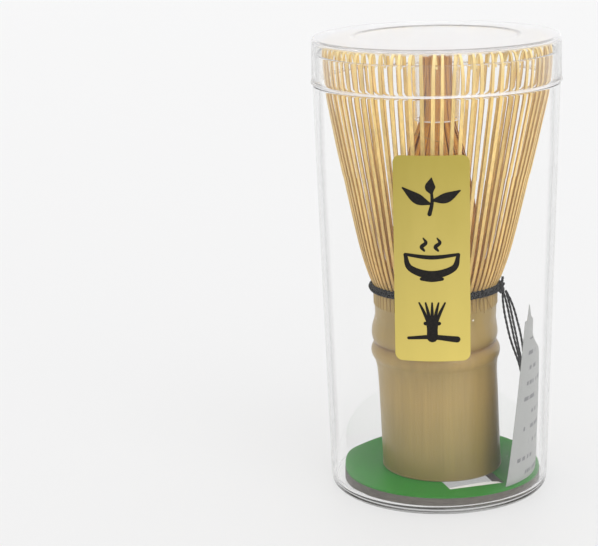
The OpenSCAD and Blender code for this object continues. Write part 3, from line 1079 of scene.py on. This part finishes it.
class TEAWHISK_OT_label(bpy.types.Operator):
    """Make the foil label and its three ink motifs"""
    bl_idname = "teawhisk.label"
    bl_label = "Label"

    def execute(self, context):
        foil = material("Gold foil", foil_material)
        ink = material("Ink", ink_material)
        round_r = 1.8
        side = tube_r(60) * math.asin(LABEL_HALF / tube_r(60)) - round_r
        outline = []
        for x, z, start in ((side, LABEL_LOW + round_r, -90), (side, LABEL_HIGH - round_r, 0),
                            (-side, LABEL_HIGH - round_r, 90), (-side, LABEL_LOW + round_r, 180)):
            outline += corner(x, z, round_r, start, start + 90, 8)
        place(label_sheet("foil_label", outline, foil, 0.02, 0.14), "case", "gold_foil",
              "case_label")
        for name, strokes, z in (("ink_sprig", self.sprig(), 79.0), ("ink_bowl", self.bowl(), 64.2),
                                 ("ink_whisk", self.whisk(), 49.4)):
            marks = [label_sheet(f"{name}_{k}", [(x, y + z) for x, y in brush(*stroke)], ink,
                                 0.15 + 0.006 * k, 0.19 + 0.006 * k)
                     for k, stroke in enumerate(strokes)]
            place(joined(name, marks), "case", "gold_foil")
        return {"FINISHED"}

    def sprig(self):
        """Three tea leaves on a stem."""
        return (
            (((-0.4, -4.2), (0.2, -1.6), (0.1, 1.2)), (1.0, 0.8, 0.6)),
            (((0.1, 0.6), (-0.2, 2.2), (0.1, 4.3)), (0.6, 2.4, 0.3)),
            (((-0.2, -1.8), (-3.2, -0.6), (-6.6, 1.9)), (0.5, 2.5, 0.4)),
            (((0.3, -1.0), (3.4, -0.4), (6.6, 1.2)), (0.5, 2.4, 0.4)),
        )

    def bowl(self):
        """A tea bowl with two wisps of steam."""
        wisps = [(((x, 1.9), (x - 0.6, 2.8), (x + 0.4, 3.8), (x - 0.2, 4.9)), (0.5, 0.9, 0.8, 0.3))
                 for x in (-1.7, 1.5)]
        return (
            (((-6.2, 0.8), (-5.0, -2.4), (0, -3.9), (5.0, -2.4), (6.2, 0.8)),
             (0.8, 1.5, 1.9, 1.5, 0.8)),
            (((-6.2, 0.9), (0, 0.3), (6.2, 0.9)), (0.7, 1.0, 0.7)),
            (((-2.4, -4.9), (0, -5.1), (2.4, -4.9)), (0.8, 1.0, 0.8)),
            *wisps,
        )

    def whisk(self):
        """A small whisk standing on a line."""
        fan = [(((0.45 * k, -0.9), (0.9 * k, 1.6), (1.5 * k, 4.1)), (0.7, 0.75, 0.4))
               for k in (-2, -1, 0, 1, 2)]
        return (
            (((0, -4.2), (0, -2.6), (0, -1.2)), (2.6, 2.5, 2.7)),
            (((-1.6, -0.9), (0, -1.1), (1.6, -0.9)), (0.9, 1.0, 0.9)),
            (((-5.6, -4.6), (0, -4.2), (5.8, -4.9)), (0.7, 1.1, 1.5)),
            *fan,
        )


class TEAWHISK_OT_card(bpy.types.Operator):
    """Make the board disc and its green facing with the folded tab"""
    bl_idname = "teawhisk.card"
    bl_label = "Base card"

    # The cut-out: its own directions, outwards and aside, and its size along them
    out, aside = facing(22.8, 1, 0), facing(112.8, 1, 0)
    slot_fold, slot_far, slot_w, slot_aside = 5.4, 18.4, 14.2, 2.35
    # The card lies a little to one side and forwards in the tube
    shift = Vector((0.8, -0.9, 0))

    def execute(self, context):
        green = material("Green card", green_material)
        top = STAND_Z - 0.02
        place(self.disc("board_disc", CARD_R, CARD_Z, FACING_Z - 0.02,
                        material("Board", board_material), lambda p: 0),
              "case", "board", "card_board")
        place(self.lining(), "case", "board")
        facing_disc = self.disc("green_disc", CARD_R - 0.1, FACING_Z, top, green, self.lift)
        place(joined("green_facing", [facing_disc, self.tab(green, top)]), "case", "green_card",
              "card_facing")
        return {"FINISHED"}

    def lift(self, p):
        """How far the facing curls up off the board: at the left and the back of its rim."""
        turn = math.degrees(math.atan2(p.x, -p.y))
        left = math.exp(-((turn + 96) / 20) ** 2)
        back = math.exp(-((abs(turn) - 150) / 34) ** 2)
        right = math.exp(-((turn - 96) / 18) ** 2)
        rim = ease((math.hypot(p.x, p.y) - 17.5) / 7)
        return rim * (1.3 * left + 0.7 * back + 0.6 * right)

    def in_slot(self, p):
        """Whether a point lies in the cut-out."""
        return (self.slot_fold < p.dot(self.out) < self.slot_far
                and abs(p.dot(self.aside) - self.slot_aside) < self.slot_w / 2)

    def by_slot(self, out, aside, z):
        """The point at a distance outwards and one aside from the middle of the cut-out."""
        return self.out * out + self.aside * (self.slot_aside + aside) + self.shift + UP * z

    def disc(self, name, radius, low_z, high_z, finish, lift):
        """A disc with the cut-out, thin and bent by lift."""
        bm = flat_shape([facing(2 * k, radius, 0) for k in range(180)])
        cuts = [(self.slot_fold, self.out), (self.slot_far, self.out)]
        cuts += [(self.slot_aside + s * self.slot_w / 2, self.aside) for s in (-1, 1)]
        cuts += [(d, way) for way in (self.out, self.aside) for d in range(-24, 25, 2)]
        for d, way in cuts:
            cut(bm, way * d, way)
        gone = [f for f in bm.faces if self.in_slot(f.calc_center_median())]
        bmesh.ops.delete(bm, geom=gone, context="FACES")

        def at(z):
            return lambda p: Vector((p.x, p.y, z + lift(p))) + self.shift
        return slab(name, bm, at(high_z), at(low_z), finish)

    def lining(self):
        """The torn strip of white lining paper left along the far edge of the cut-out."""
        rim = ((-6.9, 17.1), (-4, 16.6), (-1, 16.2), (2, 16.0), (4.4, 16.1), (6.1, 16.8),
               (6.7, 18.3), (-6.9, 18.3))
        bm = flat_shape([self.by_slot(out, aside, FACING_Z) for aside, out in rim])
        return slab("lining_strip", bm, lambda p: p + UP * 0.05, lambda p: p - UP * 0.12,
                    material("White lining", lining_material))

    def tab(self, finish, top):
        """The strip cut from the slot, folded up inside the handle."""
        thick, tall = 0.28, self.slot_far - self.slot_fold

        def at(back):
            return lambda p: self.by_slot(
                self.slot_fold - 0.25 * math.sin(math.pi * p.y) - back,
                (p.x - 0.5) * self.slot_w, top - 0.1 + tall * p.y)
        return slab("tab", grid(1, 8), at(0), at(thick), finish)


class TEAWHISK_OT_leaflet(bpy.types.Operator):
    """Make the curled paper leaflet"""
    bl_idname = "teawhisk.leaflet"
    bl_label = "Leaflet"

    low_z, high_z = STAND_Z + 0.05, LEAFLET_TOP

    def execute(self, context):
        def side(inward):
            return lambda p: self.point(p.x, p.y, inward)
        piece = slab("paper_leaflet", grid(40, 36), side(0), side(0.12),
                     material("Leaflet paper", paper_material), sharp=50)
        self.lay_uv(piece)
        place(piece, "case", "paper", "leaflet")
        return {"FINISHED"}

    def point(self, u, v, inward):
        """A point of the sheet: u round it from the edge near the label, v up it."""
        start = lerp(43.8, 58.2, v ** 0.85)
        stop = 112 - 41 * ease((v - 0.62) / 0.3)
        r = lerp(24.35, 25.15, v) + 0.25 * math.sin(math.pi * v) * math.sin(math.pi * u)
        r -= 1.3 * ease((v - 0.66) / 0.2) * ease((u - 0.7) / 0.3)
        peak = 0.4 * math.sin(23 * u) * u + 3.9 * max(0.0, 1 - abs(u - 0.36) / 0.2)
        rise = lerp(self.low_z, self.high_z - 1.3, v) + peak * ease((v - 0.8) / 0.2)
        return facing(lerp(start, stop, u), r - inward, rise)

    def lay_uv(self, piece):
        """A UV map that runs across and up the sheet."""
        layer = piece.data.uv_layers.new(name="UVMap")
        for corner_at in piece.data.loops:
            p = piece.data.vertices[corner_at.vertex_index].co / MM
            turn = math.degrees(math.atan2(p.x, -p.y))
            v = (p.z - self.low_z) / (self.high_z - self.low_z)
            layer.data[corner_at.index].uv = ((turn - lerp(43.8, 58.2, v)) / 62, v)


class TEAWHISK_OT_handle(bpy.types.Operator):
    """Make the handle: the unsplit culm with its node ridge"""
    bl_idname = "teawhisk.handle"
    bl_label = "Handle"

    def execute(self, context):
        foot = STAND_Z
        skin = smooth_line([(r, z, 0) for r, z in (
            (14.92, foot + 0.5), (14.93, 12), (14.93, 20), (14.95, 27), (15.0, 29.2),
            (15.12, 30.6), (15.4, 31.9), (15.88, 33.1), (16.12, 34.0), (16.06, 34.9),
            (15.72, 35.7), (15.42, 36.3), (15.38, 36.8), (15.55, 37.5), (15.72, 38.4),
            (15.72, 39.5), (15.5, 41), (15.2, 42.4), (15.12, 44), (15.2, 45.8),
            (15.32, SPLIT_Z - 0.1))], 5)
        outline = [
            *corner(14.65, foot + 0.4, 0.4, -90, 0, 5), *[(p.x, p.y) for p in skin],
            (15.3, SPLIT_Z), (12.7, SPLIT_Z), (12.6, SPLIT_Z - 0.3), (12.6, 37.2),
            *corner(11.8, 36.9, 0.8, 0, -90, 4), (6, 35.9), (0, 36.0),
            (0, 33.0), (6, 33.1), (10.6, 33.0), *corner(11.2, 32.2, 0.8, 90, 0, 4),
            (12, 20), (12.0, foot + 0.4), (12.25, foot)]
        handle = lathe("culm_handle", outline, material("Culm skin", culm_material), 180,
                       self.wobble, 45)
        place(leaned(handle), "whisk", "culm", "handle")
        return {"FINISHED"}

    def wobble(self, r, z, a):
        """A culm is never quite round, and its node never quite level."""
        grown = 1 - 0.004 * (0.5 + 0.5 * math.sin(2 * a + 0.6)) - 0.002 * (
            0.5 + 0.5 * math.sin(3 * a + 1.9))
        near_node = math.exp(-((z - 36) / 4.5) ** 2)
        dip = near_node * (0.30 * math.sin(a + 2.4) + 0.12 * math.sin(2 * a + 0.4))
        creased = 0.13 * math.exp(-((z - 36.7) / 0.45) ** 2) + 0.05 * math.exp(
            -((z - 32.2) / 0.5) ** 2)
        return r * grown - creased, z + dip


class TEAWHISK_OT_outer_tines(bpy.types.Operator):
    """Make the ring of outer tines"""
    bl_idname = "teawhisk.outer_tines"
    bl_label = "Outer tines"

    def execute(self, context):
        s = settings("whisk_bamboo")
        finish = material("Outer tine", tine_material, "Outer tine", s.straw, s.skin, s.pale,
                          3200.0)
        ring = tine_ring(
            "outer_tine_ring", (
                (15.05, SPLIT_Z - 0.5), (15.08, LACING_Z - 1.2), (15.15, LACING_Z + 0.8),
                (16.0, LACING_Z + 2.6), (17.65, 58), (19.35, 64.5), (22.35, 78.1), (24.4, 87.5),
                (26.15, 96.5), (26.9, 101), (27.3, 105.2), (27.4, 108.5), (27.1, 110.2),
                (26.3, 111.05), (25.3, 110.7), (24.7, 109.4), (24.3, 107.4)),
            Count=s.tines, Segments=64, Phase=0.0, Foot_width=s.foot_w, Body_width=s.body_w,
            Tip_width=s.tip_w, Foot_thickness=s.foot_t, Tip_thickness=s.tip_t, Gather=0.0,
            Turn_stray=0.022, Tip_stray=0.00022, Curl_stray=0.0011, Seed=s.seed, Material=finish)
        place(leaned(ring), "whisk", "outer_tine", *[f"outer_tines_{g}" for g in range(1, 13)])
        place(self.splinters(finish), "whisk", "outer_tine")
        return {"FINISHED"}

    def splinters(self, finish):
        """Three splinters of skin that stand off below the lacing, and one loose fibre that lies
        across the bundle."""
        start = LACING_Z - 0.8
        lines = [(width, [facing(turn, r, start - down) for turn, r, down in points])
                 for width, points in (
                     (0.55, ((54, 15.75, 0), (56.5, 16.0, 1.4), (59.5, 16.3, 3.0))),
                     (0.4, ((50, 15.8, 0), (50, 16.0, 1.6), (49.6, 16.1, 3.6))),
                     (0.5, ((46, 15.7, 0), (45.4, 15.9, 1.2), (44.2, 16.1, 2.4))))]
        lines.append((0.26, ((-4.9, -6.6, 89.9), (-1.3, -7.9, 88.7), (2.4, -7.7, 87.6))))
        parts = []
        for k, (width, points) in enumerate(lines):
            line = smooth_line(points, 5)
            half = [width / 2 * (1 - 0.6 * i / (len(line) - 1)) for i in range(len(line))]
            parts.append(swept(f"splinter_{k}", line, finish, lambda i: [
                (half[i], 0), (0, 0.11), (-half[i], 0), (0, -0.11)]))
        return leaned(joined("splinters", parts))


class TEAWHISK_OT_inner_tines(bpy.types.Operator):
    """Make the inner tines, gathered to a bundle"""
    bl_idname = "teawhisk.inner_tines"
    bl_label = "Inner tines"

    def execute(self, context):
        s = settings("whisk_bamboo")
        finish = material("Inner tine", tine_material, "Inner tine", s.gold, s.gold, s.gold, 3600.0,
                          0.45)
        bundle = tine_ring(
            "inner_tine_bundle", (
                (13.15, SPLIT_Z - 0.5), (13.1, LACING_Z), (10.6, 65), (8.3, 78), (7.0, 84),
                (4.6, 91.4), (3.95, 97), (3.7, 102), (3.6, 107)),
            Count=s.tines, Segments=40, Phase=0.5, Foot_width=0.0013, Body_width=0.0010,
            Tip_width=0.00082, Foot_thickness=0.00045, Tip_thickness=0.0003, Gather=0.0022,
            Turn_stray=0.34, Tip_stray=0.0006, Curl_stray=0.0002, Seed=s.seed + 400,
            Material=finish)
        place(leaned(bundle), "whisk", "inner_tine", *[f"inner_tines_{g}" for g in range(1, 13)])
        return {"FINISHED"}


class TEAWHISK_OT_lacing(bpy.types.Operator):
    """Make the lacing round the tines and its knot"""
    bl_idname = "teawhisk.lacing"
    bl_label = "Lacing and knot"

    def execute(self, context):
        finish = material("Thread", thread_material)
        tines = settings("whisk_bamboo").tines
        rows = [self.strand(tines, k, finish) for k in (0, 1)]
        outer = joined("outer_lacing", [*rows, self.crossings(tines, finish)])
        for piece, node in ((outer, "lacing_outer"), (self.inner(finish), "lacing_inner"),
                            (self.knot(finish), "thread_knot")):
            place(leaned(piece), "whisk", "thread", node)
        return {"FINISHED"}

    def strand(self, tines, row, finish):
        """One turn of thread that dips into the slit between each two tines."""
        def at(a):
            wave, front = math.cos(tines * a + math.pi * row), -math.sin(a)
            return turned(
                a, LACING_R - 0.6 + 0.16 * math.cos(tines * a) + 0.2 * max(0.0, front),
                LACING_Z + 0.7 * front + (0.42 + 0.08 * wave) * (1 if row else -1))
        return loop(f"strand_{row}", 24 * tines, at, finish, two_ply(0.48, 0.25, 16))

    def crossings(self, tines, finish):
        """A short slanting stitch over the two turns at each slit."""
        def at(a, t):
            front = -math.sin(a)
            return turned(a, LACING_R - 1.2 + 1.2 * math.sin(math.pi * t) ** 0.6
                          + 0.2 * max(0.0, front), LACING_Z + 0.7 * front + lerp(-1.0, 1.0, t))
        return joined("crossings", [
            swept(f"crossing_{k}", [at(TAU * (k + 0.5) / tines + lerp(-0.022, 0.026, j / 8), j / 8)
                                    for j in range(9)], finish, two_ply(0.27, 0.3, 5, 6))
            for k in range(tines)])

    def inner(self, finish):
        """The pass of thread between the outer and the inner tines."""
        return loop("inner_lacing", 720, lambda a: turned(
            a, 14.1 + 0.12 * math.cos(30 * a), LACING_Z + 0.1 * math.sin(15 * a)), finish,
            two_ply(0.4, 0.3, 9))

    def knot(self, finish):
        """A few crossed turns pulled tight, with one short end standing up."""
        out, along = facing(78.6, 1, 0), facing(168.6, 1, 0)
        middle = out * 16.7 + UP * (LACING_Z + 0.3)

        def at(t):
            ring_r = 0.72 + 0.34 * math.cos(3 * t)
            return (middle + along * ring_r * math.cos(2 * t) * 1.15
                    + UP * ring_r * math.sin(2 * t) * 1.25 + out * 0.42 * math.sin(3 * t))

        parts = [loop("knot_loop", 150, at, finish, two_ply(0.36, 0.3, 7))]
        for name, thick, points in (
                ("knot_ear", 0.38, (
                    (0.4, 0, 0), (1.3, 0.1, 0.1), (2.0, 0.3, 0.15), (2.5, 0.6, 0.15))),
                ("knot_hitch", 0.42, (
                    (0.6, -0.9, 0), (0, -0.2, -0.1), (-0.7, 0.2, 0), (-1.5, 0.1, 0)))):
            line = smooth_line([middle + UP * u + along * s + out * d for u, s, d in points], 6)
            parts.append(swept(name, line, finish, two_ply(thick, 0.3, 9)))
        return joined("lacing_knot", parts)


class TEAWHISK_OT_sleeve(bpy.types.Operator):
    """Make the clear sleeve on the inner tines"""
    bl_idname = "teawhisk.sleeve"
    bl_label = "Sleeve"

    def execute(self, context):
        wall, low_z = 0.25, SLEEVE_LOW + 0.9
        half = wall / 2
        outline = [
            *corner(SLEEVE_R - half, low_z + half, half, -180, 0, 5),
            *[(SLEEVE_R, z) for z in (95, 100, 105)],
            *corner(SLEEVE_R - half, SLEEVE_HIGH - half, half, 0, 180, 5),
            *[(SLEEVE_R - wall, z) for z in (105, 100, 95)]]
        film = lathe("film_sleeve", outline, material("Clear film", film_material), 96)
        place(leaned(film), "sleeve", "clear_film", "tip_sleeve")
        return {"FINISHED"}


PIECES = (
    TEAWHISK_OT_stage, TEAWHISK_OT_tails, TEAWHISK_OT_case, TEAWHISK_OT_label, TEAWHISK_OT_card,
    TEAWHISK_OT_leaflet, TEAWHISK_OT_handle, TEAWHISK_OT_outer_tines, TEAWHISK_OT_inner_tines,
    TEAWHISK_OT_lacing, TEAWHISK_OT_sleeve,
)
SETTINGS = (
    ("whisk_stage", WhiskStageSettings), ("whisk_case", WhiskCaseSettings),
    ("whisk_bamboo", WhiskBambooSettings), ("whisk_thread", WhiskThreadSettings),
)


class TEAWHISK_PT_pieces(bpy.types.Panel):
    """The whisk's pieces and settings, in the 3D view's sidebar"""
    bl_idname = "TEAWHISK_PT_pieces"
    bl_label = "Tea whisk"
    bl_space_type = "VIEW_3D"
    bl_region_type = "UI"
    bl_category = "Tea whisk"

    def draw(self, context):
        for key, group in SETTINGS:
            box = self.layout.box()
            for prop in group.__annotations__:
                box.prop(getattr(context.scene, key), prop)
        for piece in PIECES:
            self.layout.operator(piece.bl_idname)


def register():
    """Registers the settings, the operators and the panel."""
    for key, group in SETTINGS:
        bpy.utils.register_class(group)
        setattr(bpy.types.Scene, key, bpy.props.PointerProperty(type=group))
    for piece in (*PIECES, TEAWHISK_PT_pieces):
        bpy.utils.register_class(piece)


def unregister():
    """Takes them out again."""
    for piece in (TEAWHISK_PT_pieces, *reversed(PIECES)):
        bpy.utils.unregister_class(piece)
    for key, group in reversed(SETTINGS):
        delattr(bpy.types.Scene, key)
        bpy.utils.unregister_class(group)


def main():
    """Builds every piece in order."""
    register()
    for piece in PIECES:
        space, verb = piece.bl_idname.split(".")
        getattr(getattr(bpy.ops, space), verb)()


if __name__ == "__main__":
    main()
